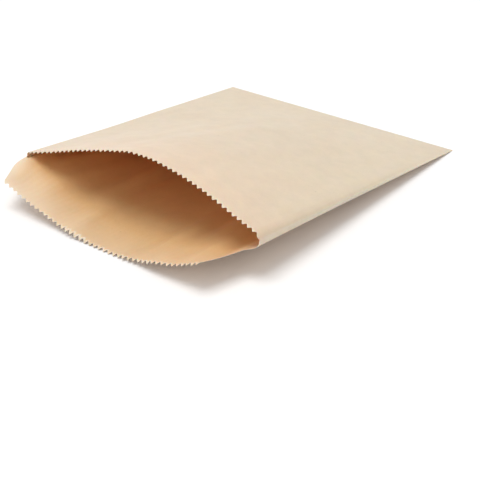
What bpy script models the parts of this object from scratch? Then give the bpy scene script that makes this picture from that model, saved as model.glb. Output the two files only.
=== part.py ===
"""Flat paper bag lying on its lower panel with the mouth sprung open.

One sheet of waxed kraft paper: a flattened tube with two side folds, whose end is turned over
and pasted to the lower panel, with pinked edges, and a lower panel that runs on past the mouth
as a lip. Metres, +Z up. The mouth faces -Y and the closed end +Y, and the belly lies on z = 0.
"""
import math

import bmesh
import bpy
import numpy as np

# Paper
PAPER = 0.00010             # thickness of the sheet
END_GAP = 0.00006           # air between the two panels where the end is pressed flat
PASTE = 0.00005             # paste between the turned-over end and the lower panel

# Flat bag
WIDTH = 0.200               # from side fold to side fold
TOP_LENGTH = 0.222          # closed end to the tooth tips of the top panel
FLAP = 0.016                # closed end to the tooth tips of the end that is turned under

# Lip of the lower panel
LIP = 0.028                 # how far its teeth reach past the teeth of the top panel
LIP_STEP = 0.012            # step in from the right fold to the foot of the lip
LEFT_TAPER = 0.012          # how much the lip narrows on its left side, from the fold itself
RIGHT_TAPER = 0.008         # how much it narrows on its right side

# Pinked edges
TOOTH_PITCH = 0.004
TOOTH_DEPTH = 0.0032

# Shape of the open mouth
SQUEEZE = 0.0097            # how much closer the side folds are at the mouth than when flat
RIDGE = 0.0886              # from the left fold to where the top panel starts to bend over
TOP_BOW = 0.53              # below 1 bends most near the ridge, above 1 most near the right fold
LOWER_BOW = 0.55            # below 1 bends most near the belly, above 1 most near the folds
BELLY_WIDTH = 0.016         # flat strip of the lower panel that lies on the table
BELLY_SHIFT = -0.004        # its middle, from the middle of the bag
FOLD_ROUND = 0.0034         # paper taken up by the rounding on each side of a fold at the mouth
FOLD_EDGE = 0.0018          # height of the upright part of a fold at the mouth

# Mesh
TURN_ROWS = 4               # rows of faces round the turned end
PANEL_ROWS = 5              # rows of faces from the turned end to the tooth roots
LIP_ROWS = 2                # rows of faces from there to the cut edge of the lip
FOLD_COLUMNS = (0.0009, 0.0030)     # extra columns beside each fold, by distance from it
COLUMN_MERGE = 0.0002       # columns closer than this become one
TRACE_STEPS = 400           # steps used to walk along a cross-section
WELD = 0.000001             # points closer than this are one
SHARP_FROM = math.radians(35)

NODE = "bag"
KRAFT = (0.73, 0.53, 0.36, 1.0)


def clear_scene():
    """Remove what the file opened with."""
    for item in list(bpy.data.objects):
        bpy.data.objects.remove(item, do_unlink=True)


def paper_material():
    """Return the dull tan of the paper."""
    material = bpy.data.materials.new("waxed_kraft_paper")
    material.use_nodes = True
    shader = material.node_tree.nodes["Principled BSDF"]
    shader.inputs["Base Color"].default_value = KRAFT
    shader.inputs["Roughness"].default_value = 0.55
    shader.inputs["Metallic"].default_value = 0.0
    return material


def bisect(value, low, high):
    """Return where a value that falls from low to high passes zero, or the nearer end."""
    if value(low) <= 0.0:
        return low
    if value(high) >= 0.0:
        return high
    for _ in range(40):
        middle = (low + high) / 2
        if value(middle) > 0.0:
            low = middle
        else:
            high = middle
    return (low + high) / 2


def walk(arc, slope):
    """Follow a paper cross-section of the given slopes and return its x and z along the arc."""
    step = arc[1] - arc[0]
    across = np.cos(slope)
    upward = np.sin(slope)
    x = np.concatenate(([0.0], np.cumsum((across[1:] + across[:-1]) / 2 * step)))
    z = np.concatenate(([0.0], np.cumsum((upward[1:] + upward[:-1]) / 2 * step)))
    return x, z


def rounding(distance):
    """Share of the upright direction left at a distance from a fold."""
    return np.clip(1.0 - distance / FOLD_ROUND, 0.0, 1.0)


def top_section(mouth_width):
    """Cross-section of the top panel at the mouth, from the left fold to the right one.

    It climbs straight from the left fold to the ridge and then bends over steadily.
    """
    arc = np.linspace(0.0, WIDTH, TRACE_STEPS + 1)
    bend = np.clip((arc - RIDGE) / (WIDTH - RIDGE), 0.0, 1.0) ** TOP_BOW

    def trace(climb, drop):
        slope = climb - (climb + drop) * bend
        slope = slope + (math.pi / 2 - climb) * rounding(arc)
        slope = slope - (math.pi / 2 - drop) * rounding(WIDTH - arc)
        return walk(arc, slope)

    def drop_for(climb):
        return bisect(lambda drop: trace(climb, drop)[1][-1], 0.0, math.pi / 2)

    climb = bisect(lambda angle: trace(angle, drop_for(angle))[0][-1] - mouth_width, 0.0, math.pi / 3)
    x, z = trace(climb, drop_for(climb))
    return arc, x, z


def flank(length, depth):
    """One side of the lower panel at the mouth, from a fold down to the belly."""
    arc = np.linspace(0.0, length, TRACE_STEPS + 1)
    ease = np.clip(1.0 - arc / length, 0.0, 1.0) ** LOWER_BOW

    def trace(angle):
        return walk(arc, angle * ease + (math.pi / 2 - angle) * rounding(arc))

    angle = bisect(lambda value: depth - trace(value)[1][-1], 0.0, math.pi / 2)
    x, z = trace(angle)
    return arc, x, -z


def lower_section(mouth_width):
    """Cross-section of the lower panel at the mouth, with its flat belly, and its depth."""
    left_length = WIDTH / 2 + BELLY_SHIFT - BELLY_WIDTH / 2
    right_length = WIDTH - BELLY_WIDTH - left_length

    def width_at(depth):
        return flank(left_length, depth)[1][-1] + BELLY_WIDTH + flank(right_length, depth)[1][-1]

    depth = bisect(lambda value: width_at(value) - mouth_width, 0.0, WIDTH / 3)
    left_arc, left_x, left_z = flank(left_length, depth)
    right_arc, right_x, right_z = flank(right_length, depth)
    arc = np.concatenate((left_arc, WIDTH - right_arc[::-1]))
    x = np.concatenate((left_x, width_at(depth) - right_x[::-1]))
    z = np.concatenate((left_z, right_z[::-1]))
    return arc, x, z, depth


def end_stack():
    """Thickness of the flattened tube where the end is pressed."""
    return 2 * PAPER + END_GAP


def belly_height(distance):
    """Height of the belly, which runs straight from the turned end's edge down to the lip's teeth."""
    overall = TOP_LENGTH + LIP
    return (end_stack() + PASTE) * (overall - distance) / (overall - FLAP)


class Mouth:
    """Both cross-sections at the mouth, where the straight lines from the closed end meet it."""

    def __init__(self):
        width = WIDTH - SQUEEZE
        self.left = -width / 2
        self.top_arc, self.top_x, self.top_z = top_section(width)
        self.low_arc, self.low_x, self.low_z, self.depth = lower_section(width)

    def point(self, across, upper):
        """Place across and height at the mouth of a column, by its place across the flat bag."""
        arc = across + WIDTH / 2
        base = belly_height(TOP_LENGTH) + self.depth
        if upper:
            x = np.interp(arc, self.top_arc, self.top_x)
            z = np.interp(arc, self.top_arc, self.top_z) + FOLD_EDGE
        else:
            x = np.interp(arc, self.low_arc, self.low_x)
            z = np.interp(arc, self.low_arc, self.low_z)
        return self.left + x, base + z


def saw(distance):
    """Height of the pinking, 0 at a root and 1 at a tip."""
    phase = (distance / TOOTH_PITCH) % 1.0
    return 1.0 - abs(2.0 * phase - 1.0)


def lip_edges():
    """Places across of the lip's outline: left foot, left end, right end and right foot."""
    foot_left = -WIDTH / 2
    foot_right = WIDTH / 2 - LIP_STEP
    return foot_left, foot_left + LEFT_TAPER, foot_right - RIGHT_TAPER, foot_right


def pinked(length, across):
    """Distance from the closed end to a pinked edge whose tips are at the given length."""
    return length - TOOTH_DEPTH * (1.0 - saw(across + WIDTH / 2))


def lip_reach(across):
    """Distance from the closed end to the cut edge of the lower panel."""
    foot = TOP_LENGTH - TOOTH_DEPTH
    foot_left, end_left, end_right, foot_right = lip_edges()
    if across <= foot_left or across >= foot_right:
        return foot
    if across < end_left:
        return foot + LIP * (across - foot_left) / LEFT_TAPER
    if across > end_right:
        return foot + LIP * (foot_right - across) / RIGHT_TAPER
    return foot + LIP + TOOTH_DEPTH * saw(across - end_left)


def teeth_between(left, right):
    """Places across of the roots and tips of the pinking."""
    count = int(math.floor((right - left) / (TOOTH_PITCH / 2) + 0.001))
    return [left + index * TOOTH_PITCH / 2 for index in range(count + 1)]


def column_places():
    """Sorted places of the columns across the flat bag."""
    half = WIDTH / 2
    _, end_left, end_right, foot_right = lip_edges()
    belly_left = BELLY_SHIFT - BELLY_WIDTH / 2
    belly_right = BELLY_SHIFT + BELLY_WIDTH / 2
    fixed = [-half, half, end_left, end_right, foot_right, belly_left, belly_right]
    fixed += [half - step for step in FOLD_COLUMNS]
    fixed += [step - half for step in FOLD_COLUMNS]
    places = []
    for place in fixed + teeth_between(-half, half) + teeth_between(end_left, end_right):
        if all(abs(place - other) > COLUMN_MERGE for other in places):
            places.append(place)
    return sorted(places)


def on_panel(mouth, across, upper, distance):
    """Point of a panel's outer face, by its place across and its distance from the closed end."""
    x, z = mouth.point(across, upper)
    start_z = belly_height(0.0) + (end_stack() if upper else 0.0)
    run = math.sqrt(TOP_LENGTH ** 2 - (z - start_z) ** 2 - (x - across) ** 2)
    share = distance / TOP_LENGTH
    return across + (x - across) * share, -run * share, start_z + (z - start_z) * share


def on_turn(across, upper, share):
    """Point on the way round the closed end, from the panel (0) to the turned-under end (1)."""
    radius = PASTE / 2 + (end_stack() if upper else 0.0)
    angle = math.pi * share
    centre = belly_height(0.0) - PASTE / 2
    return across, radius * math.sin(angle), centre + radius * math.cos(angle)


def on_flap(mouth, across, upper, distance):
    """Point of the turned-under end, which follows the lower panel that it is pasted to."""
    x, y, z = on_panel(mouth, across, False, distance)
    return x, y, z - PASTE - (end_stack() if upper else 0.0)


def column_points(mouth, across, upper):
    """Points of one column, from the mouth over the closed end to the turned end's edge."""
    root = TOP_LENGTH - TOOTH_DEPTH
    flap_root = FLAP - TOOTH_DEPTH
    reach = pinked(TOP_LENGTH, across) if upper else lip_reach(across)
    points = []
    for row in range(LIP_ROWS, 0, -1):
        distance = reach if upper else root + (reach - root) * row / LIP_ROWS
        points.append(on_panel(mouth, across, upper, distance))
    for row in range(PANEL_ROWS, -1, -1):
        distance = FLAP + (root - FLAP) * row / PANEL_ROWS
        points.append(on_panel(mouth, across, upper, distance))
    points.append(on_panel(mouth, across, upper, flap_root))
    for row in range(TURN_ROWS + 1):
        points.append(on_turn(across, upper, row / TURN_ROWS))
    points.append(on_flap(mouth, across, upper, flap_root))
    points.append(on_flap(mouth, across, upper, pinked(FLAP, across)))
    return points


def skin_points(mouth):
    """Points of the paper's outer face, one list for each column round the tube."""
    places = column_places()
    skin = [column_points(mouth, across, True) for across in places]
    skin += [column_points(mouth, across, False) for across in reversed(places)]
    return skin + [skin[0]]


def grid_mesh(name, points):
    """Bend a flat grid to the given points, weld what meets and drop what has no area."""
    last_column = len(points) - 1
    last_row = len(points[0]) - 1
    mesh = bmesh.new()
    bmesh.ops.create_grid(mesh, x_segments=last_column, y_segments=last_row, size=0.5)
    for vertex in mesh.verts:
        column = round((vertex.co.x + 0.5) * last_column)
        row = round((vertex.co.y + 0.5) * last_row)
        vertex.co = points[column][row]
    bmesh.ops.remove_doubles(mesh, verts=mesh.verts, dist=WELD)
    data = bpy.data.meshes.new(name)
    mesh.to_mesh(data)
    mesh.free()
    return data


def make_bag():
    """The folded tube, with its thickness laid inward from its outer face."""
    bag = bpy.data.objects.new(NODE, grid_mesh(NODE, skin_points(Mouth())))
    paper = bag.modifiers.new("Paper", "SOLIDIFY")
    paper.thickness = PAPER
    paper.offset = -1.0
    paper.use_even_offset = True
    paper.use_quality_normals = True
    bag.location.y = (TOP_LENGTH + LIP - end_stack() - PASTE / 2) / 2
    return bag


def main():
    clear_scene()
    bag = make_bag()
    bag.data.materials.append(paper_material())
    bag.data.shade_smooth()
    bag.data.set_sharp_from_angle(angle=SHARP_FROM)
    collection = bpy.data.collections.new("paper_bag")
    bpy.context.scene.collection.children.link(collection)
    collection.objects.link(bag)


main()
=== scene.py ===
"""Looks of a flat kraft paper bag that lies with its pinked mouth sprung open.

The bag is one sheet of lightly waxed kraft paper: a flattened tube whose end is turned over and
pasted, with a lip on its lower panel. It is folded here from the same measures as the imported
solid, with finer columns and rows, uneven teeth, a slight cockle in the sheet and the soft give
of the paper at the mouth. Metres, +Z up. The mouth faces -Y and the closed end +Y.
"""
import math

import bmesh
import bpy
import numpy as np
from bpy.props import FloatProperty, FloatVectorProperty, PointerProperty
from mathutils import Matrix, Vector


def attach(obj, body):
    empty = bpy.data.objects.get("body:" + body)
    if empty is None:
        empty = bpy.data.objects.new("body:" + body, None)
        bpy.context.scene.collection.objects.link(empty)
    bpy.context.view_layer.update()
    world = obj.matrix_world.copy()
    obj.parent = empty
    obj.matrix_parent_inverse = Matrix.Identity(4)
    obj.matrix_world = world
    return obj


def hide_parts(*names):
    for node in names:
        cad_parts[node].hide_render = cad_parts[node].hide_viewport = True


bl_info = {
    "name": "Paper bag",
    "version": (1, 0, 0),
    "blender": (4, 5, 0),
    "location": "3D View > Sidebar > Paper bag",
    "description": "Folds a flat kraft paper bag with a pinked mouth, and lights it",
    "category": "Object",
}

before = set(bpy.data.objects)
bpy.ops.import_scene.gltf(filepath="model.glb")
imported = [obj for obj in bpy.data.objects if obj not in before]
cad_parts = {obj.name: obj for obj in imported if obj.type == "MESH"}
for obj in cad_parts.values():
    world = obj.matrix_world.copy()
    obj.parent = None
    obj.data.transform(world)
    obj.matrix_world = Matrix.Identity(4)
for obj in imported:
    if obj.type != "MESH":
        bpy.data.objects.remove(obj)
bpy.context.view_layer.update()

NODE = "bag"
BODY = "root"
OUTER_SEED = 0.0
INNER_SEED = 50.0

# How finely the sheet is divided
TOOTH_COLUMNS = 6  # columns of faces to a tooth
TOOTH_ROWS = 4  # rows of faces from the roots to the tips
FOLD_COLUMNS = (0.0003, 0.0007, 0.0013, 0.0026)  # more columns, by distance from a fold
COLUMN_MERGE = 0.00018  # columns closer than this become one
COUNT_SLACK = 0.001  # share of a column that rounding may lack
WALL_COLUMNS = 4  # columns of faces in the upright part of a fold
LIP_ROWS = 9
PANEL_ROWS = 40
PRESSED_ROWS = 4  # rows of faces over the turned-over end, and on it
TURN_ROWS = 8  # rows of faces round the closed end
TRACE_STEPS = 800  # steps used to walk along a cross-section
HALVINGS = 40  # halvings used to find an angle or a depth
WELD = 0.000001
NEARBY = 0.0002  # step to a neighbouring point, to find the sheet's directions
SHARP_FROM = math.radians(35)
TOOTH_SEED = 7

# Give of the paper at the mouth. ALONG: shares of the way to the mouth, where a form starts and
# is full. ACROSS: distance from the fold to where the panel has its plain curve.
DROOP_ALONG = (0.35, 0.70)
DROOP_ACROSS = 0.060
SPREAD_LOST = 0.5  # share of the left fold's spread that the lip's teeth don't have
LEFT_LEAN_ACROSS = 0.012
RIGHT_LIFT_ACROSS = 0.026
RIGHT_LIFT_FOLD = (0.35, 0.006)  # share of the lift at the fold, and how far off it is whole
RIGHT_SAG_ACROSS = 0.065
RIGHT_SAG_FOLD = (0.10, 0.020)  # the same of the sag
CREASE_CHORD = 0.0045  # the lower panel leaves a crease straight over this distance
CHORD_SHARES = (1.0, 0.6)  # how straight it does at the left and at the right crease
SHOULDER_ALONG = (0.45, 0.95)
SHOULDER_RISE = 0.008  # from the left crease to where the lower panel's shoulder is full
SHOULDER_FALL = (0.016, 0.040)  # from the left crease, where it starts to go down and is gone
SHOULDER_END = 0.020  # from the mouth to where it is gone on the lip

# Unevenness of the sheet: cycles per metre across and along, phase and share of the height
COCKLES = (
    (9.0, 3.1, 0.4, 0.42), (17.0, -4.6, 2.1, 0.27), (29.0, 6.3, 4.4, 0.20),
    (43.0, 9.5, 1.2, 0.11), (13.0, 15.0, 5.3, 0.05),
)
# Softer and closer ripples inside the lower panel, in the same terms
RIPPLES = ((31.0, 5.0, 1.0, 0.66), (53.0, -7.0, 3.6, 0.34))
RIPPLE_CUT_FADE = 0.024  # from the cut edge to where they are full
COCKLE_FOLD_FADE = 0.016  # from a side fold to where the cockle is full
COCKLE_END_FADE = (0.020, 0.110)  # from the closed end, where it starts and is full
COCKLE_BELLY_RISE = 0.0022  # height from which the lower panel cockles fully
THROUGH_FROM = (0.004, 0.030)  # from a fold, where light starts to come through, and all does

# Patterns of paper and floor: cycles per metre, detail, roughness and seed of a noise
FORMATION = (95.0, 5.0, 0.60, 0.0)
BROAD_TONE = (14.0, 2.0, 0.50, 4.0)
FELT = (1900.0, 3.0, 0.60, 6.0)
WAX_SMEARS = (38.0, 3.0, 0.50, 9.0)
FIBRE_ENDS = (3800.0, 3.0, 0.60, 20.0)
FLOOR_GLOSS = (6.0, 2.0, 0.55, 0.0)
# Runs of fibres, shives and machine lines: turn, and cycles per metre across and along
FIBRE_RUNS = ((0.10, (5200.0, 420.0)), (0.95, (5600.0, 560.0)), (-0.70, (5400.0, 480.0)))
MACHINE_RUN = (0.0, (900.0, 9.0))
SHIVE_RUN = (0.4, (190.0, 75.0))
STRANDS = (1.0, 1.0, 0.40)  # scale, detail and roughness of the noise along a run
MACHINE_LINES = (1.0, 2.0, 0.50, 12.0)
# Values of a pattern at which what it makes starts, and is full
CLOUD_RANGE = (0.36, 0.64)
DARK_RANGE = (1.66, 1.92)
PALE_RANGE = (1.34, 1.12)
SHIVE_RANGE = (0.07, 0.03)
SHIVE_CELLS = (0.80, 0.84)  # which few cells hold a shive
RUBBED_RANGE = (0.40, 0.62)
WAXED_RANGE = (0.35, 0.65)
ENDS_RANGE = (0.45, 0.70)
GLOSS_RANGE = (0.3, 0.7)
# Distances at which wear, painted light or a colour starts, and is full
FOLD_WEAR_AND_HIGHLIGHT = (0.0014, 0.0002)  # from the fold; partly real crease wear, partly a painted highlight along the fold
END_WEAR = (0.0008, 0.0)  # from the closed end
PAINTED_GLOW_FROM = (0.045, 0.085)  # from the cut edge, for the painted reddish light deep inside
PAINTED_LIGHT_FOLD = (0.016, 0.003)  # from a fold, for the painted light on the lip
PAINTED_LIGHT_SIDE = (1.60, 1.97)  # places round the tube in widths of the bag, for the painted light on its left side
# Strengths
CLOUD_SHARES = (0.65, 0.35)  # of the formation and the broad tone
CLOUD_LIFT = 0.25  # share of the clouding that makes the paper paler
PALE_SHARE = 0.8  # of the flecks, for pale fibres
SHIVE_SHARE = 2.2  # of the flecks, for shives
RUBBED_LEAST = 0.55
# Least share of the painted light on the lip, away from its left side and the folds
PAINTED_LIGHT_LEAST = 0.42
RIM_WHOLE = 0.3  # share of a rim's width over which it is fully pale
SHINE_SPREAD = 0.07  # more or less roughness where the wax is thin or thick
WORN_ROUGHNESS = 0.12
RELIEF_SHARES = (0.33, 0.6, 2.4, 1.0)  # of the fibres, the felt, the formation and the lines
GLOW_RADIUS = (1.0, 0.29, 0.10)  # how far red, green and blue go into the sheet, as shares
PAPER_IOR = 1.46
WAX_ROUGHNESS = 0.38
FRAYED = 0.30  # how much of the inner colour the cut edge's fibre ends have
EDGE_ROUGHNESS = (0.74, 0.90)
FLOOR_ROUGHNESS = (0.72, 0.80)
FLOOR_SPECULAR = 0.2
WHITE = (1.0, 1.0, 1.0, 1.0)

FLOOR_RADIUS = 4.0
FLOOR_SIDES = 96
SENSOR = 36.0
CLIP_START = 0.01
# Sockets of a Mix node for colours
MIX_AMOUNT, MIX_FIRST, MIX_SECOND, MIX_RESULT = 0, 6, 7, 2


def length(name, description, default, least=0.0):
    """A size or a place in metres."""
    return FloatProperty(
        name=name, description=description, default=default, min=least, subtype="DISTANCE",
        unit="LENGTH", precision=5
    )


def share(name, description, default, top=1.0):
    """A plain factor."""
    return FloatProperty(
        name=name, description=description, default=default, min=0.0, max=top, subtype="FACTOR"
    )


def angle(name, description, degrees):
    """An angle, given in degrees."""
    return FloatProperty(
        name=name, description=description, default=math.radians(degrees), subtype="ANGLE",
        unit="ROTATION"
    )


def colour(name, description, default):
    """A linear colour."""
    return FloatVectorProperty(
        name=name, description=description, default=default, size=3, min=0.0, max=1.0,
        subtype="COLOR"
    )


class PaperBagSheet(bpy.types.PropertyGroup):
    """Sizes of the sheet and of the folded bag."""

    paper: length("Paper", "Thickness of the sheet", 0.00010)
    end_gap: length("End gap", "Air between the panels where the end is pressed", 0.00006)
    paste: length("Paste", "Paste between the turned-over end and the lower panel", 0.00005)
    width: length("Width", "From side fold to side fold when flat", 0.200)
    top_length: length("Top length", "Closed end to the tooth tips of the top panel", 0.222)
    flap: length("Flap", "Closed end to the tooth tips of the turned-under end", 0.016)
    lip: length("Lip", "How far the lip's teeth reach past those of the top panel", 0.028)
    lip_step: length("Lip step", "Step in from the right fold to the foot of the lip", 0.012)
    left_taper: length("Left taper", "How much the lip narrows on its left side", 0.012)
    right_taper: length("Right taper", "How much the lip narrows on its right side", 0.008)
    left_bulge: share("Left bulge", "How far the lip's left side bows outward", 0.36)
    tooth_pitch: length("Tooth pitch", "Width of one tooth", 0.004)
    root_depth: length("Root depth", "From the line of the tips to the line of the roots", 0.0032)
    tooth_depth: length("Tooth depth", "Depth of one tooth of the lip", 0.0036)
    first_loss: share("Shorter left teeth", "Share of its depth that the first tooth loses", 0.32)
    top_tooth_depth: length("Top tooth depth", "Depth of one tooth of the top panel", 0.0025)
    tooth_blunt: length("Tooth blunting", "How much of a tip and root is rounded away", 0.00028)
    tooth_soft: share("Soft teeth", "How much tips and roots are rounded", 0.5)
    tooth_uneven: share("Uneven teeth", "Random share of the tooth depth that a tooth loses", 0.10)
    tooth_hinge: length("Tooth hinge", "How far past the roots the teeth are bent", 0.0014)
    top_tooth_bend: angle("Top teeth", "How far the cutter bent the top panel's teeth down", 56.0)
    lip_tooth_bend: angle("Lip teeth", "How far the cutter bent the lip's left teeth down", 66.0)
    last_tooth_bend: angle("Last teeth", "How far the cutter bent the lip's right teeth down", 34.0)
    bend_uneven: share("Uneven bend", "Random share by which the bend of a tooth differs", 0.25)
    lip_lift: length("Lip lift", "How far the lip curls up towards its teeth", 0.0016)
    corner_lift: share("Corner lift", "How much more the lip's right corner curls up", 1.25, 4.0)
    top_cockle: length("Top cockle", "Height of the soft waves in the top panel", 0.0005)
    lower_cockle: length("Lower cockle", "Height of the soft waves in the lower panel", 0.0014)
    ripple: length("Ripples", "Height of the closer ripples inside the lower panel", 0.0014)


class PaperBagMouth(bpy.types.PropertyGroup):
    """Shape that the open mouth takes."""

    squeeze: length("Squeeze", "How much closer the folds are at the mouth than when flat", 0.0097)
    ridge: length("Ridge", "Left fold to where the top panel starts to bend over", 0.0886)
    top_bow: share("Top bow", "Below 1 bends most near the ridge, above 1 near the fold", 0.53, 4.0)
    lower_bow: share("Lower bow", "Below 1 bends most near the belly, above 1 at a fold", 0.55, 4.0)
    belly_width: length("Belly width", "Flat strip of the lower panel that the bag lies on", 0.016)
    belly_shift: length("Belly shift", "Middle of that strip, from the bag's middle", -0.004, -1.0)
    fold_round: length("Fold rounding", "Paper taken up by the rounding beside a fold", 0.0034)
    fold_edge: length("Fold edge", "Height of the upright part of a fold at the mouth", 0.0018)
    right_lift: length("Right lift", "How much higher the top panel is near the right fold", 0.0024)
    foot_reach: length("Foot reach", "How far the edge beside the lip is past the roots", 0.0008)
    right_sag: length("Right sag", "How much lower the lower panel is near the right fold", 0.0023)
    left_shoulder: length("Left shoulder", "Rise of the lower panel beside the left fold", 0.0054)
    left_drop: length("Left drop", "How far the left fold droops at the mouth", 0.0028)
    left_spread: length("Left spread", "How far the left fold spreads outward at the mouth", 0.0036)
    left_lean: length("Left lean", "How far the upright part of the left fold leans inward", 0.0012)


class PaperBagFinish(bpy.types.PropertyGroup):
    """Colours and surface of the paper."""

    outer: colour("Outer face", "Pale tan of the glazed outer face", (0.788, 0.592, 0.432))
    inner: colour("Inner face", "Warmer tan of the rougher inner face", (0.756, 0.467, 0.220))
    # Painted light: this redder, brighter inner colour deep in the bag stands in for the reddish
    # light that comes through the paper and bounces inside
    deep: colour("Deep inside", "Painted reddish glow on the inner face away from the mouth", (0.875, 0.498, 0.236))
    cut: colour("Cut edge", "Pale colour of the cut edge", (0.920, 0.800, 0.660))
    fibre: colour("Dark fibre", "Colour of the darkest fibres and shives", (0.370, 0.220, 0.110))
    cloud: share("Clouding", "How much the formation of the sheet varies its tone", 0.07)
    fleck: share("Fibre flecks", "How strongly single fibres show", 0.16)
    # Partly real wear, partly a painted highlight: the paler line along the side folds also stands
    # in for the light caught at the crease
    wear: share("Worn and highlit folds", "How much paler the folds are", 0.38)
    top_rim: share("Pale top rim", "How much paler the outer face is along the cut edges", 0.45)
    rim: share("Pale rim", "How much paler the inner face is along the cut edges", 0.75)
    outer_rim: length("Outer rim", "Width of the pale rim on the outer face", 0.0015)
    inner_rim: length("Inner rim", "Width of the pale rim on the inner face", 0.0030)
    outer_roughness: share("Outer roughness", "Roughness of the waxed outer face", 0.50)
    inner_roughness: share("Inner roughness", "Roughness of the inner face", 0.62)
    grain: length("Grain", "Height of the fibre grain", 0.000018)
    wax: share("Wax coat", "Weight of the thin wax coat on the outer face", 0.30)
    outer_glow: share("Outer glow", "How much light goes into the outer face", 0.3)
    top_glow: share("Top panel glow", "How much light comes through the top panel", 0.8)
    lower_glow: share("Lower panel glow", "How much light goes into the lower panel", 0.15)
    glow_depth: length("Glow depth", "How deep the reddest light goes into the sheet", 0.0009)
    # Painted light: the inner face near its cut edge is made paler, mostly at the lip's left side
    # and the mouth's corners, in place of light falling there
    painted_light: share("Painted light on lip", "How much paler the inner face is near its cut edge", 0.70)
    painted_light_reach: length("Painted light reach", "How far from the cut edge that paleness goes", 0.030)


class PaperBagStage(bpy.types.PropertyGroup):
    """Floor, light and camera."""

    floor: colour("Floor", "Pale floor", (0.930, 0.928, 0.925))
    sky: share("Surrounding light", "Strength of the even light from all round", 0.60, 2.0)
    softbox_power: FloatProperty(
        name="Softbox", description="Power of the softbox", default=26.2, min=0.0, unit="POWER"
    )
    softbox_size: length("Softbox size", "Side of the square softbox", 1.3)
    softbox_distance: length("Softbox distance", "From the bag to the softbox", 2.2)
    softbox_height: angle("Softbox height", "Angle of the softbox above the horizon", 79.0)
    softbox_turn: angle("Softbox turn", "Direction of the softbox, from -Y towards +X", -20.0)
    lens: FloatProperty(
        name="Lens", description="Focal length on a 36 mm sensor", default=74.31, min=10.0,
        unit="CAMERA"
    )
    camera_distance: length("Camera distance", "From the camera to the point it looks at", 0.59932)
    camera_turn: angle("Camera turn", "Direction of the camera, from -Y towards +X", 39.040)
    camera_height: angle("Camera height", "Angle of the camera above the horizon", 30.558)
    camera_roll: angle("Camera roll", "Tilt of the picture about the line of sight", -0.922)
    camera_aim: FloatVectorProperty(
        name="Camera aim", description="Point on the floor that the camera looks at",
        default=(0.057582, -0.063290, 0.0), size=3, subtype="TRANSLATION", unit="LENGTH"
    )


# Cross-sections at the mouth


def smooth_step(value):
    """Ease from 0 to 1."""
    part = np.clip(value, 0.0, 1.0)
    return part * part * (3.0 - 2.0 * part)


def ease(value, start, full):
    """Ease from 0 at one value to 1 at another."""
    return smooth_step((value - start) / (full - start))


def fade(distance, reach):
    """Ease from 1 at no distance to 0 at the reach."""
    return 1.0 - smooth_step(distance / reach)


def beside_fold(amount, distance, reach, at_fold, whole):
    """An amount that fades away from a fold, with only a share of it at the fold itself."""
    kept = at_fold + (1.0 - at_fold) * smooth_step(distance / whole)
    return amount * fade(distance, reach) * kept


def bisect(value, low, high):
    """Return where a value that falls from low to high passes zero, or the nearer end."""
    if value(low) <= 0.0:
        return low
    if value(high) >= 0.0:
        return high
    for _ in range(HALVINGS):
        middle = (low + high) / 2
        if value(middle) > 0.0:
            low = middle
        else:
            high = middle
    return (low + high) / 2


def walk(arc, slope):
    """Follow a paper cross-section of the given slopes and return its x and z along the arc."""
    step = arc[1] - arc[0]
    return [
        np.concatenate(([0.0], np.cumsum((part[1:] + part[:-1]) / 2 * step)))
        for part in (np.cos(slope), np.sin(slope))
    ]


def rounding(distance, paper):
    """Share of the upright direction left at a distance from a fold."""
    return np.clip(1.0 - distance / paper, 0.0, 1.0)


def on_section(arc, section):
    """Place across and height of a point of a cross-section, by its place along the paper."""
    return np.array([np.interp(arc, section[0], values) for values in section[1:]])


def steps(start, end, count):
    """Even steps from a start to an end, without the start."""
    return [start + (end - start) * step / count for step in range(1, count + 1)]


def end_stack(sheet):
    """Thickness of the flattened tube where the end is pressed."""
    return 2 * sheet.paper + sheet.end_gap


def belly_height(sheet, distance):
    """Height of the belly, which runs straight from the turned end's edge to the lip's teeth."""
    overall = sheet.top_length + sheet.lip
    return (end_stack(sheet) + sheet.paste) * (overall - distance) / (overall - sheet.flap)


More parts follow.
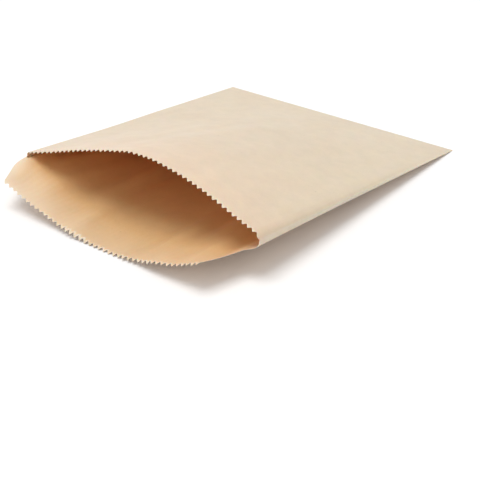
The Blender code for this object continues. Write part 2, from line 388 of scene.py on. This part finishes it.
class OpenMouth:
    """Both cross-sections at the mouth, where the straight lines from the closed end meet it."""

    def __init__(self, sheet, mouth):
        self.sheet = sheet
        self.mouth = mouth
        self.width = sheet.width - mouth.squeeze
        self.top = self.top_section()
        self.low, self.depth = self.lower_section()

    def top_section(self):
        """Climb straight from the left fold to the ridge, then bend over steadily."""
        ridge = self.mouth.ridge
        whole = self.sheet.width
        arc = np.linspace(0.0, whole, TRACE_STEPS + 1)
        bend = np.clip((arc - ridge) / (whole - ridge), 0.0, 1.0) ** self.mouth.top_bow

        def trace(climb, drop):
            slope = climb - (climb + drop) * bend
            slope = slope + (math.pi / 2 - climb) * rounding(arc, self.mouth.fold_round)
            slope = slope - (math.pi / 2 - drop) * rounding(whole - arc, self.mouth.fold_round)
            return walk(arc, slope)

        def drop_for(climb):
            return bisect(lambda drop: trace(climb, drop)[1][-1], 0.0, math.pi / 2)

        def spare(climb):
            return trace(climb, drop_for(climb))[0][-1] - self.width

        climb = bisect(spare, 0.0, math.pi / 3)
        return arc, *trace(climb, drop_for(climb))

    def flank(self, paper, depth):
        """One side of the lower panel, from a fold down to the belly."""
        arc = np.linspace(0.0, paper, TRACE_STEPS + 1)
        bend = np.clip(1.0 - arc / paper, 0.0, 1.0) ** self.mouth.lower_bow

        def trace(angle):
            upright = rounding(arc, self.mouth.fold_round)
            return walk(arc, angle * bend + (math.pi / 2 - angle) * upright)

        angle = bisect(lambda value: depth - trace(value)[1][-1], 0.0, math.pi / 2)
        x, z = trace(angle)
        return arc, x, -z

    def lower_section(self):
        """The lower panel with its flat belly, and how deep it sags below the folds."""
        whole = self.sheet.width
        belly = self.mouth.belly_width
        left_paper = whole / 2 + self.mouth.belly_shift - belly / 2
        right_paper = whole - belly - left_paper

        def flanks(depth):
            left = self.flank(left_paper, depth)
            right = self.flank(right_paper, depth)
            return left, right, left[1][-1] + belly + right[1][-1]

        depth = bisect(lambda value: flanks(value)[2] - self.width, 0.0, whole / 3)
        left, right, width = flanks(depth)
        arc = np.concatenate((left[0], whole - right[0][::-1]))
        x = np.concatenate((left[1], width - right[1][::-1]))
        z = np.concatenate((left[2], right[2][::-1]))
        return (arc, x, z), depth

    def lower_point(self, arc):
        """Place on the lower cross-section, which leaves the creases straight."""
        whole = self.sheet.width
        place = on_section(arc, self.low)
        chords = ((0.0, CREASE_CHORD), (whole, whole - CREASE_CHORD))
        for (crease, inner), straightness in zip(chords, CHORD_SHARES):
            part = abs(arc - crease) / CREASE_CHORD
            if part < 1.0:
                start = on_section(crease, self.low)
                straight = start + (on_section(inner, self.low) - start) * part
                place += (straight - place) * straightness
        return place

    def point(self, across, upper):
        """Place across and height at the mouth of a column, by its place across the flat bag."""
        sheet = self.sheet
        mouth = self.mouth
        arc = across + sheet.width / 2
        from_right = sheet.width - arc
        if upper:
            x, z = on_section(arc, self.top)
            x += mouth.left_lean * fade(arc, LEFT_LEAN_ACROSS)
            z += mouth.fold_edge
            z += beside_fold(mouth.right_lift, from_right, RIGHT_LIFT_ACROSS, *RIGHT_LIFT_FOLD)
        else:
            x, z = self.lower_point(arc)
            z -= beside_fold(mouth.right_sag, from_right, RIGHT_SAG_ACROSS, *RIGHT_SAG_FOLD)
        return x - self.width / 2, belly_height(sheet, sheet.top_length) + self.depth + z


# Folding the sheet


def saw(sheet, place, depth):
    """Height of the pinking, 0 at a root and 1 at a tip, both rounded and slightly blunted."""
    phase = (place / sheet.tooth_pitch) % 1.0
    sharp = 1.0 - abs(2.0 * phase - 1.0)
    soft = 0.5 - 0.5 * math.cos(2.0 * math.pi * phase)
    blunt = sheet.tooth_blunt / depth
    return blunt + (1.0 - 2.0 * blunt) * (sharp + (soft - sharp) * sheet.tooth_soft)


class ToothRow:
    """Depth and bend of each tooth along one cut edge."""

    def __init__(self, sheet, depth, first_bend, last_bend, first_loss, random):
        count = math.ceil(sheet.width / sheet.tooth_pitch) + 1
        self.sheet = sheet
        self.depth = depth
        self.loss = random.uniform(0.0, sheet.tooth_uneven, count)
        self.loss += np.linspace(first_loss, 0.0, count)
        self.bend = np.linspace(first_bend, last_bend, count)
        self.bend *= 1.0 + random.uniform(-1.0, 1.0, count) * sheet.bend_uneven

    def tooth(self, place):
        return min(len(self.loss) - 1, max(0, int(place / self.sheet.tooth_pitch)))

    def height(self, place):
        """How far the cut edge stands out from the line of the roots."""
        kept = 1.0 - self.loss[self.tooth(place)]
        return self.depth * saw(self.sheet, place, self.depth) * kept

    def bent(self, place, past_root):
        """How far a point past the roots goes on along the sheet, and how far it drops."""
        bend = self.bend[self.tooth(place)]
        hinge = self.sheet.tooth_hinge
        curved = min(past_root, hinge)
        straight = past_root - curved
        turned = bend * curved / hinge
        forward = hinge / bend * math.sin(turned) + straight * math.cos(bend)
        return forward, hinge / bend * (1.0 - math.cos(turned)) + straight * math.sin(bend)


class FoldedBag:
    """Points of the paper's outer face, with where each of them is on the flat sheet."""

    def __init__(self, sheet, mouth):
        self.sheet = sheet
        self.mouth = mouth
        self.open_mouth = OpenMouth(sheet, mouth)
        self.root = sheet.top_length - sheet.root_depth
        self.half = sheet.width / 2
        end_right = self.half - sheet.lip_step - sheet.right_taper
        self.lip_end = (-self.half + sheet.left_taper, end_right)
        random = np.random.default_rng(TOOTH_SEED)
        top = (sheet.top_tooth_depth, sheet.top_tooth_bend, sheet.top_tooth_bend, 0.0)
        lip = (sheet.tooth_depth, sheet.lip_tooth_bend, sheet.last_tooth_bend, sheet.first_loss)
        self.top_teeth = ToothRow(sheet, *top, random)
        self.lip_teeth = ToothRow(sheet, *lip, random)
        self.flap_teeth = ToothRow(sheet, *top, random)

    def columns(self):
        """Sorted places of the columns across the flat bag."""
        sheet = self.sheet
        half = self.half
        middle = self.mouth.belly_shift
        belly = self.mouth.belly_width / 2
        fixed = [-half, half, *self.lip_end, half - sheet.lip_step, middle - belly, middle + belly]
        fixed += [half - step for step in FOLD_COLUMNS]
        fixed += [step - half for step in FOLD_COLUMNS]
        step = sheet.tooth_pitch / TOOTH_COLUMNS
        for left, right in ((-half, half), self.lip_end):
            count = math.floor((right - left) / step + COUNT_SLACK)
            fixed += [left + index * step for index in range(count + 1)]
        places = []
        for place in fixed:
            if all(abs(place - other) > COLUMN_MERGE for other in places):
                places.append(place)
        return sorted(places)

    def lip_side(self, across):
        """Distance of the lip's teeth roots or slanted side from the closed end."""
        sheet = self.sheet
        end_left, end_right = self.lip_end
        if across < end_left:
            part = max(0.0, (across + self.half) / sheet.left_taper)
            return self.root + sheet.lip * part ** (1.0 - sheet.left_bulge)
        if across > end_right:
            part = (self.half - sheet.lip_step - across) / sheet.right_taper
            return self.root + max(self.mouth.foot_reach, sheet.lip * part)
        return self.root + sheet.lip

    def teeth(self, across, upper):
        """The row of teeth that a column ends in, and the column's place along it."""
        if upper:
            return self.top_teeth, across + self.half
        return self.lip_teeth, across - self.lip_end[0]

    def shoulder(self, across, part):
        """How much higher the lower panel is beside the left fold near the mouth."""
        from_left = across + self.half
        rise = smooth_step(from_left / SHOULDER_RISE) * ease(part, *SHOULDER_ALONG)
        return self.mouth.left_shoulder * rise * (1.0 - ease(from_left, *SHOULDER_FALL))

    def on_panel(self, across, upper, distance):
        """Point of a panel's outer face, by its place across and distance from the closed end."""
        sheet = self.sheet
        x, z = self.open_mouth.point(across, upper)
        start_z = belly_height(sheet, 0.0) + (end_stack(sheet) if upper else 0.0)
        run = math.sqrt(sheet.top_length ** 2 - (z - start_z) ** 2 - (x - across) ** 2)
        part = distance / sheet.top_length
        past_root = distance - self.root
        lift = sheet.lip_lift * (max(0.0, past_root) / sheet.lip) ** 2
        lift *= 1.0 + sheet.corner_lift * smooth_step(2.0 * across / self.lip_end[1] - 1.0)
        if not upper:
            lift += self.shoulder(across, part) * fade(past_root, SHOULDER_END)
        droop = ease(part, *DROOP_ALONG) * fade(self.half + across, DROOP_ACROSS)
        spread = self.mouth.left_spread * (1.0 - SPREAD_LOST * smooth_step(past_root / sheet.lip))
        return Vector((
            across + (x - across) * part - spread * droop,
            -run * part,
            start_z + (z - start_z) * part + lift - self.mouth.left_drop * droop,
        ))

    def on_tooth(self, across, upper, root, past_root):
        """Point of a tooth, which the cutter bent down out of the sheet."""
        row, place = self.teeth(across, upper)
        forward, drop = row.bent(place, past_root)
        at_root = self.on_panel(across, upper, root)
        ahead = (self.on_panel(across, upper, root + NEARBY) - at_root).normalized()
        half = self.half - NEARBY
        beside = min(half, max(-half, across))
        left, right = (self.on_panel(beside + step, upper, root) for step in (-NEARBY, NEARBY))
        down = (right - left).cross(ahead).normalized()
        level = max(0.0, -down.z)
        return at_root + ahead * forward + down * drop * level

    def on_turn(self, across, upper, part):
        """Point on the way round the closed end, from the panel (0) to the turned end (1)."""
        radius = self.sheet.paste / 2 + (end_stack(self.sheet) if upper else 0.0)
        angle = math.pi * part
        centre = belly_height(self.sheet, 0.0) - self.sheet.paste / 2
        return Vector((across, radius * math.sin(angle), centre + radius * math.cos(angle)))

    def on_flap(self, across, upper, distance):
        """Point of the turned-under end, which follows the lower panel that it is pasted to."""
        below = self.sheet.paste + (end_stack(self.sheet) if upper else 0.0)
        return self.on_panel(across, False, distance) - Vector((0.0, 0.0, below))

    def column(self, across, upper):
        """Points of one column from the mouth over the closed end to the turned end's edge.

        Each has its distance from the closed end and from the cut edge.
        """
        sheet = self.sheet
        root = self.root if upper else self.lip_side(across)
        row, place = self.teeth(across, upper)
        toothed = upper or self.lip_end[0] <= across <= self.lip_end[1]
        tooth = row.height(place) if toothed else 0.0
        reach = root + tooth
        rows = []
        for past in reversed(steps(0.0, tooth, TOOTH_ROWS)):
            rows.append((self.on_tooth(across, upper, root, past), root + past, tooth - past))
        panel = [sheet.flap, *steps(sheet.flap, self.root, PANEL_ROWS)]
        for distance in reversed(panel + steps(self.root, root, LIP_ROWS)):
            rows.append((self.on_panel(across, upper, distance), distance, reach - distance))
        flap_root = sheet.flap - sheet.root_depth
        pressed = steps(0.0, flap_root, PRESSED_ROWS)
        for distance in reversed(pressed):
            rows.append((self.on_panel(across, upper, distance), distance, reach))
        for step in range(TURN_ROWS + 1):
            rows.append((self.on_turn(across, upper, step / TURN_ROWS), 0.0, reach))
        flap_reach = flap_root + self.flap_teeth.height(across + self.half)
        for distance in (*pressed, flap_reach):
            point = self.on_flap(across, upper, distance)
            rows.append((point, -distance, flap_reach - distance))
        return rows

    def skin(self):
        """Arrays of points, flat places and cut distances, by column and row."""
        whole = self.sheet.width
        places = self.columns()
        wall = self.mouth.fold_edge + self.mouth.right_lift
        top = [(whole / 2 + across, self.column(across, True)) for across in places]
        low = [(whole * 1.5 + wall - across, self.column(across, False)) for across in places[::-1]]
        strips = top + low + [(2 * whole + wall + self.mouth.fold_edge, top[0][1])]
        table = np.array([
            [(*point, cut, around, along) for point, along, cut in column]
            for around, column in strips
        ])
        rows = []
        for index, strip in enumerate(table):
            rows.append(strip)
            if index in (len(top) - 1, len(top) + len(low) - 1):
                rows += steps(strip, table[index + 1], WALL_COLUMNS)[:-1]
        table = np.array(rows)
        return table[:, :, :3], table[:, :, 4:], table[:, :, 3]


def fold_place(sheet, mouth, around):
    """Distance from the nearest fold, and whether a place is on the lower panel.

    Places start at the top of the left fold. The distance is 0 on the upright part of a fold.
    """
    right = sheet.width + mouth.fold_edge + mouth.right_lift
    left = right + sheet.width
    lower = (around >= right) & (around <= left)
    on_top = np.minimum(around, sheet.width - around)
    on_lower = np.minimum(around - right, left - around)
    return np.maximum(0.0, np.where(lower, on_lower, on_top)), lower


def waves(flat, parts):
    """Sum of sine waves over the flat sheet."""
    return sum(
        part * np.sin(2 * math.pi * (across * flat[..., 0] + along * flat[..., 1]) + phase)
        for across, along, phase, part in parts
    )


def cockle_height(sheet, flat, height, from_cut, from_fold, lower):
    """How far the sheet stands out of its smooth shape."""
    cockles = waves(flat, COCKLES)
    ripples = waves(flat, RIPPLES) * sheet.ripple * smooth_step(from_cut / RIPPLE_CUT_FADE)
    low = (cockles * sheet.lower_cockle + ripples) * smooth_step(height / COCKLE_BELLY_RISE)
    kept = smooth_step(from_fold / COCKLE_FOLD_FADE) * ease(flat[..., 1], *COCKLE_END_FADE)
    return kept * np.where(lower, low, cockles * sheet.top_cockle)


def mesh_data(mesh, name):
    """Turn an edited mesh into mesh data, and free it."""
    data = bpy.data.meshes.new(name)
    mesh.to_mesh(data)
    mesh.free()
    return data


def skin_mesh(name, folded):
    """Bend a flat grid to the bag's outer face and weld what meets."""
    points, flat, cut = folded.skin()
    from_fold, lower = fold_place(folded.sheet, folded.mouth, flat[..., 0])
    measures = {
        "cut_distance": cut,
        "fold_distance": from_fold,
        "end_distance": abs(flat[..., 1]),
        "light_through": np.where(lower, 0.0, ease(from_fold, *THROUGH_FROM)),
        "wave": cockle_height(folded.sheet, flat, points[..., 2], cut, from_fold, lower),
    }
    last_column = points.shape[0] - 1
    last_row = points.shape[1] - 1
    mesh = bmesh.new()
    bmesh.ops.create_grid(mesh, x_segments=last_column, y_segments=last_row, size=0.5)
    place = mesh.loops.layers.uv.new("sheet")
    layers = {measure: mesh.verts.layers.float.new(measure) for measure in measures}
    index = {}
    for vertex in mesh.verts:
        column = round((vertex.co.x + 0.5) * last_column)
        row = round((vertex.co.y + 0.5) * last_row)
        index[vertex] = (column, row)
        vertex.co = points[column][row]
        for measure, layer in layers.items():
            vertex[layer] = measures[measure][column][row]
    for face in mesh.faces:
        for corner in face.loops:
            corner[place].uv = flat[index[corner.vert]]
    bmesh.ops.remove_doubles(mesh, verts=mesh.verts, dist=WELD)
    mesh.normal_update()
    for vertex in mesh.verts:
        vertex.co += vertex.normal * vertex[layers["wave"]]
        vertex.co.z = max(0.0, vertex.co.z)
    mesh.verts.layers.float.remove(layers["wave"])
    return mesh_data(mesh, name)


# Materials


def adjust(thing, **settings):
    """Set several attributes of a thing, and return it."""
    for name, value in settings.items():
        setattr(thing, name, value)
    return thing


class NodeBuilder:
    """Short ways to add and link nodes in one material or world."""

    def __init__(self, tree):
        self.nodes = tree.nodes
        self.links = tree.links

    def add(self, kind, label, **settings):
        return adjust(self.nodes.new(kind), label=label, **settings)

    def fill(self, node, values):
        """Link outputs to a node's sockets, or set plain values on them."""
        for socket, value in values.items():
            if isinstance(value, bpy.types.NodeSocket):
                self.links.new(value, node.inputs[socket])
            else:
                node.inputs[socket].default_value = value

    def maths(self, operation, first, second, label, clamp=False):
        node = self.add("ShaderNodeMath", label, operation=operation, use_clamp=clamp)
        self.fill(node, {0: first, 1: second})
        return node.outputs[0]

    def times(self, first, second, label):
        return self.maths("MULTIPLY", first, second, label)

    def larger(self, first, second, label):
        return self.maths("MAXIMUM", first, second, label)

    def total(self, patterns, shares, label):
        """Sum of patterns, each times its share."""
        whole, *others = (
            self.times(pattern, part, label + " share") for pattern, part in zip(patterns, shares)
        )
        for other in others:
            whole = self.maths("ADD", whole, other, label)
        return whole

    def ramp(self, value, low, high, label, from_value=0.0, to_value=1.0):
        """Map a value range to another, clamped."""
        node = self.add("ShaderNodeMapRange", label, clamp=True)
        ends = {"From Min": low, "From Max": high, "To Min": from_value, "To Max": to_value}
        self.fill(node, {"Value": value, **ends})
        return node.outputs["Result"]

    def mix(self, amount, first, second, label, blend="MIX"):
        node = self.add("ShaderNodeMix", label, data_type="RGBA", blend_type=blend)
        self.fill(node, {MIX_AMOUNT: amount, MIX_FIRST: first, MIX_SECOND: second})
        return node.outputs[MIX_RESULT]

    def noise(self, place, pattern, label, seed=0.0):
        scale, detail, roughness, own_seed = pattern
        node = self.add("ShaderNodeTexNoise", label, noise_dimensions="4D")
        self.fill(node, {
            "Vector": place, "W": seed + own_seed, "Scale": scale, "Detail": detail,
            "Roughness": roughness,
        })
        return node.outputs["Fac"]

    def stretched(self, place, run, label):
        """The sheet's coordinates turned and scaled unevenly."""
        turn, scale = run
        node = self.add("ShaderNodeMapping", label)
        self.fill(node, {"Vector": place, "Rotation": (0.0, 0.0, turn), "Scale": (*scale, 1.0)})
        return node.outputs["Vector"]

    def attribute(self, name):
        node = self.add("ShaderNodeAttribute", name.replace("_", " "), attribute_name=name)
        return node.outputs["Fac"]

    def bump(self, height, distance, label):
        node = self.add("ShaderNodeBump", label)
        self.fill(node, {"Strength": 1.0, "Distance": distance, "Height": height})
        return node.outputs["Normal"]


def opaque(rgb):
    """A linear colour with alpha 1."""
    return (*rgb, 1.0)


def new_material(name):
    """A new material, with its builder and its shader."""
    material = bpy.data.materials.new(name)
    material.use_nodes = True
    return material, NodeBuilder(material.node_tree), material.node_tree.nodes["Principled BSDF"]


def shives(build, place):
    """The few dark splinters of kraft pulp."""
    cells = build.add("ShaderNodeTexVoronoi", "shives", feature="F1")
    build.fill(cells, {"Vector": build.stretched(place, SHIVE_RUN, "shive run"), "Scale": 1.0})
    chosen = build.add("ShaderNodeSeparateColor", "which cells")
    build.fill(chosen, {"Color": cells.outputs["Color"]})
    near = build.ramp(cells.outputs["Distance"], *SHIVE_RANGE, "shive body")
    few = build.ramp(chosen.outputs["Red"], *SHIVE_CELLS, "few cells")
    return build.times(near, few, "shives")


def painted_lip_light(build, place, from_cut, from_fold, finish, width):
    """Painted highlight: paler inner face near the cut edge, most at the left side and by the
    folds.
    """
    near_cut = build.ramp(from_cut, finish.painted_light_reach, 0.0, "handled lip")
    around = build.add("ShaderNodeSeparateXYZ", "place round the tube")
    build.fill(around, {"Vector": place})
    places = (width * part for part in PAINTED_LIGHT_SIDE)
    side = build.ramp(around.outputs["X"], *places, "left side", PAINTED_LIGHT_LEAST, 1.0)
    by_fold = build.ramp(from_fold, *PAINTED_LIGHT_FOLD, "beside a fold")
    side = build.larger(side, by_fold, "left side or beside a fold")
    near_cut = build.times(near_cut, side, "where it was handled")
    return build.times(near_cut, finish.painted_light, "handled amount")


def paper_material(name, finish, width, seed, glazed):
    """Kraft paper: clouded formation, runs of fibres, shives, worn folds and a waxed outer face.

    The folds also carry a painted highlight, and the inner face painted light at the lip and deep
    inside.
    """
    material, build, shader = new_material(name)
    place = build.add("ShaderNodeUVMap", "flat sheet", uv_map="sheet").outputs["UV"]
    from_cut = build.attribute("cut_distance")
    from_fold = build.attribute("fold_distance")
    if glazed:
        base, roughness = opaque(finish.outer), finish.outer_roughness
        rim, paler = finish.outer_rim, finish.top_rim
        glow = finish.outer_glow
    else:
        # Painted light: the inner face turns redder and brighter deep inside the bag, in place of
        # the reddish light that comes through and bounces there
        depth = build.ramp(from_cut, *PAINTED_GLOW_FROM, "how deep inside")
        base = build.mix(depth, opaque(finish.inner), opaque(finish.deep), "painted reddish glow inside")
        roughness = finish.inner_roughness
        rim, paler = finish.inner_rim, finish.rim
        through = build.attribute("light_through")
        glow = build.ramp(through, 0.0, 1.0, "glow", finish.lower_glow, finish.top_glow)

    # Patterns of the sheet
    formation = build.noise(place, FORMATION, "formation", seed)
    broad = build.noise(place, BROAD_TONE, "broad tone", seed)
    tone = build.total((formation, broad), CLOUD_SHARES, "clouding")
    tones = (1.0 - finish.cloud, 1.0 + finish.cloud * CLOUD_LIFT)
    cloud = build.ramp(tone, *CLOUD_RANGE, "cloud tone", *tones)
    strands = [
        build.noise(build.stretched(place, run, "fibre run"), (*STRANDS, number), "strands", seed)
        for number, run in enumerate(FIBRE_RUNS, 1)
    ]
    fibres = build.total(strands, (1.0,) * len(strands), "fibres")

    # Base colour
    toned = build.mix(1.0, base, cloud, "clouded paper", "MULTIPLY")
    flecks = (
        (build.ramp(fibres, *DARK_RANGE, "dark fibres"), 1.0, finish.fibre),
        (build.ramp(fibres, *PALE_RANGE, "pale fibres"), PALE_SHARE, finish.cut),
        (shives(build, place), SHIVE_SHARE, finish.fibre),
    )
    for fleck, strength, tint in flecks:
        amount = build.times(fleck, finish.fleck * strength, "fleck amount")
        toned = build.mix(amount, toned, opaque(tint), "flecks")

    # Worn folds with a painted highlight, pale cut edges, and painted light on the lip
    rubbed = build.ramp(formation, *RUBBED_RANGE, "rubbed patches", RUBBED_LEAST, 1.0)
    # Paler side folds: real crease wear together with a painted highlight along the fold
    fold = build.ramp(from_fold, *FOLD_WEAR_AND_HIGHLIGHT, "side fold")
    end = build.ramp(build.attribute("end_distance"), *END_WEAR, "closed end")
    creases_and_highlight = build.times(build.larger(fold, end, "creases"), finish.wear, "crease wear and highlight")
    cut = build.ramp(from_cut, rim, rim * RIM_WHOLE, "cut edge", 0.0, paler)
    worn_and_highlit = build.times(build.larger(creases_and_highlight, cut, "worn places"), rubbed, "worn unevenly")
    paled = worn_and_highlit
    if not glazed:
        # Painted light on the lip and at the mouth's corners: paler near the cut edge
        painted_light = painted_lip_light(build, place, from_cut, from_fold, finish, width)
        paled = build.larger(worn_and_highlit, painted_light, "worn or handled")
    toned = build.mix(paled, toned, opaque(finish.cut), "worn paper")

    # Roughness and relief
    smears = build.noise(place, WAX_SMEARS, "wax smears", seed)
    spread = (roughness - SHINE_SPREAD, roughness + SHINE_SPREAD)
    shine = build.ramp(smears, *WAXED_RANGE, "waxed or bare", *spread)
    rough_wear = build.times(worn_and_highlit, WORN_ROUGHNESS, "rough wear")
    reliefs = [fibres, build.noise(place, FELT, "felt", seed), formation]
    if glazed:
        run = build.stretched(place, MACHINE_RUN, "machine direction")
        reliefs.append(build.noise(run, MACHINE_LINES, "machine lines", seed))
    relief = build.total(reliefs, RELIEF_SHARES, "relief")
    build.fill(shader, {
        "Base Color": toned,
        "Roughness": build.maths("ADD", shine, rough_wear, "roughness", True),
        "Normal": build.bump(relief, finish.grain, "paper grain"),
        "IOR": PAPER_IOR,
        "Subsurface Weight": glow,
        "Subsurface Radius": GLOW_RADIUS,
        "Subsurface Scale": finish.glow_depth,
    })
    if glazed:
        build.fill(shader, {"Coat Weight": finish.wax, "Coat Roughness": WAX_ROUGHNESS})
    return material


def edge_material(finish):
    """Cut edge of the sheet, with loose fibre ends."""
    material, build, shader = new_material("paper_cut_edge")
    place = build.add("ShaderNodeTexCoord", "place").outputs["Object"]
    ends = build.noise(place, FIBRE_ENDS, "fibre ends")
    amount = build.ramp(ends, *ENDS_RANGE, "fibre ends amount", 0.0, FRAYED)
    build.fill(shader, {
        "Base Color": build.mix(amount, opaque(finish.cut), opaque(finish.inner), "cut fibres"),
        "Roughness": build.ramp(ends, *GLOSS_RANGE, "edge roughness", *EDGE_ROUGHNESS),
        "Normal": build.bump(ends, finish.grain, "frayed edge"),
    })
    return material


def new_object(scene, name, data):
    """Put data into the scene as a new object."""
    item = bpy.data.objects.new(name, data)
    scene.collection.objects.link(item)
    return item


class PAPERBAG_OT_fold_bag(bpy.types.Operator):
    """Fold the bag from its sheet, give it its thickness and paper, and put it in the frame"""

    bl_idname = "paper_bag.fold_bag"
    bl_label = "Fold the bag"
    bl_options = {"REGISTER", "UNDO"}

    def execute(self, context):
        scene = context.scene
        sheet = scene.paper_bag_sheet
        finish = scene.paper_bag_finish
        folded = FoldedBag(sheet, scene.paper_bag_mouth)
        skin = new_object(scene, "skin", skin_mesh("skin", folded))
        outer = paper_material("paper_outer_face", finish, sheet.width, OUTER_SEED, True)
        inner = paper_material("paper_inner_face", finish, sheet.width, INNER_SEED, False)
        for material in (outer, inner, edge_material(finish)):
            skin.data.materials.append(material)
        adjust(
            skin.modifiers.new("Paper", "SOLIDIFY"), thickness=sheet.paper, offset=-1.0,
            use_even_offset=True, use_quality_normals=True, material_offset=1,
            material_offset_rim=2
        )
        seen = skin.evaluated_get(context.evaluated_depsgraph_get())
        data = bpy.data.meshes.new_from_object(seen)
        data.name = "paper_bag"
        bpy.data.objects.remove(skin, do_unlink=True)
        bag = new_object(scene, "paper_bag", data)
        bag.location.y = (sheet.top_length + sheet.lip - end_stack(sheet) - sheet.paste / 2) / 2
        data.shade_smooth()
        data.set_sharp_from_angle(angle=SHARP_FROM)
        context.view_layer.update()
        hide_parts(NODE)
        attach(bag, BODY)
        self.report({"INFO"}, f"{len(data.polygons)} faces")
        return {"FINISHED"}


# Stage


def from_angles(turn, height):
    """Unit vector towards a direction, by its angle from -Y towards +X and above the horizon."""
    return Vector((
        math.sin(turn) * math.cos(height),
        -math.cos(turn) * math.cos(height),
        math.sin(height),
    ))


def seen_plainly(build):
    """1 for what the camera sees, also in a mirror or through glass, and 0 for what lights."""
    path = build.add("ShaderNodeLightPath", "which ray").outputs
    direct = build.larger(path["Is Camera Ray"], path["Is Glossy Ray"], "seen or mirrored")
    return build.larger(direct, path["Is Transmission Ray"], "or seen through")


def floor_material(stage):
    """Plain pale floor with a soft unevenness in its gloss."""
    material, build, shader = new_material("pale_floor")
    place = build.add("ShaderNodeTexCoord", "place").outputs["Object"]
    gloss = build.noise(place, FLOOR_GLOSS, "floor")
    build.fill(shader, {
        "Base Color": build.mix(seen_plainly(build), opaque(stage.floor), WHITE, "seen whiter"),
        "Specular IOR Level": FLOOR_SPECULAR,
        "Roughness": build.ramp(gloss, *GLOSS_RANGE, "floor gloss", *FLOOR_ROUGHNESS),
    })
    return material


def pale_world(stage):
    """Even light from all round, which shows as plain white behind the floor."""
    world = bpy.data.worlds.new("pale_surroundings")
    world.use_nodes = True
    build = NodeBuilder(world.node_tree)
    build.nodes.clear()
    mixed = build.add("ShaderNodeMixShader", "seen or lit")
    values = {0: seen_plainly(build)}
    for socket, label, strength in ((1, "light on the bag", stage.sky), (2, "seen white", 1.0)):
        light = build.add("ShaderNodeBackground", label)
        build.fill(light, {"Color": WHITE, "Strength": strength})
        values[socket] = light.outputs[0]
    build.fill(mixed, values)
    build.fill(build.add("ShaderNodeOutputWorld", "world"), {"Surface": mixed.outputs[0]})
    return world


class PAPERBAG_OT_set_stage(bpy.types.Operator):
    """Lay the floor, hang the softbox and place the camera"""

    bl_idname = "paper_bag.set_stage"
    bl_label = "Set the stage"
    bl_options = {"REGISTER", "UNDO"}

    def execute(self, context):
        scene = context.scene
        stage = scene.paper_bag_stage
        mesh = bmesh.new()
        bmesh.ops.create_circle(mesh, cap_ends=True, segments=FLOOR_SIDES, radius=FLOOR_RADIUS)
        floor = new_object(scene, "floor", mesh_data(mesh, "floor"))
        floor.data.materials.append(floor_material(stage))

        lamp = adjust(
            bpy.data.lights.new("softbox", "AREA"), shape="SQUARE", size=stage.softbox_size,
            energy=stage.softbox_power
        )
        softbox = new_object(scene, "softbox", lamp)
        towards = from_angles(stage.softbox_turn, stage.softbox_height)
        softbox.location = towards * stage.softbox_distance
        softbox.rotation_euler = towards.to_track_quat("Z", "Y").to_euler()
        scene.world = pale_world(stage)

        back = from_angles(stage.camera_turn, stage.camera_height)
        right = Vector((0.0, 0.0, 1.0)).cross(back).normalized()
        up = back.cross(right)
        roll = stage.camera_roll
        picture_right = right * math.cos(roll) + up * math.sin(roll)
        picture_up = up * math.cos(roll) - right * math.sin(roll)
        turned = Matrix((picture_right, picture_up, back)).transposed().to_4x4()
        optics = adjust(
            bpy.data.cameras.new("camera"), lens=stage.lens, sensor_width=SENSOR,
            sensor_fit="HORIZONTAL", clip_start=CLIP_START
        )
        camera = new_object(scene, "camera", optics)
        place = Vector(stage.camera_aim) + back * stage.camera_distance
        camera.matrix_world = Matrix.Translation(place) @ turned
        scene.camera = camera
        scene.view_settings.view_transform = "Standard"
        return {"FINISHED"}


class PAPERBAG_PT_panel(bpy.types.Panel):
    """Sizes, colours and steps of the paper bag"""

    bl_idname = "PAPERBAG_PT_panel"
    bl_label = "Paper bag"
    bl_space_type = "VIEW_3D"
    bl_region_type = "UI"
    bl_category = "Paper bag"

    def draw(self, context):
        for group in GROUPS:
            box = self.layout.box()
            box.label(text=group.bl_rna.description)
            settings = getattr(context.scene, GROUPS[group])
            for name in group.__annotations__:
                box.prop(settings, name)
        self.layout.operator(PAPERBAG_OT_fold_bag.bl_idname)
        self.layout.operator(PAPERBAG_OT_set_stage.bl_idname)


GROUPS = {
    PaperBagSheet: "paper_bag_sheet",
    PaperBagMouth: "paper_bag_mouth",
    PaperBagFinish: "paper_bag_finish",
    PaperBagStage: "paper_bag_stage",
}
CLASSES = (*GROUPS, PAPERBAG_OT_fold_bag, PAPERBAG_OT_set_stage, PAPERBAG_PT_panel)


def register():
    for kind in CLASSES:
        bpy.utils.register_class(kind)
    for group, name in GROUPS.items():
        setattr(bpy.types.Scene, name, PointerProperty(type=group))


def unregister():
    for name in GROUPS.values():
        delattr(bpy.types.Scene, name)
    for kind in reversed(CLASSES):
        bpy.utils.unregister_class(kind)


def main():
    register()
    bpy.ops.paper_bag.fold_bag()
    bpy.ops.paper_bag.set_stage()


if __name__ == "__main__":
    main()
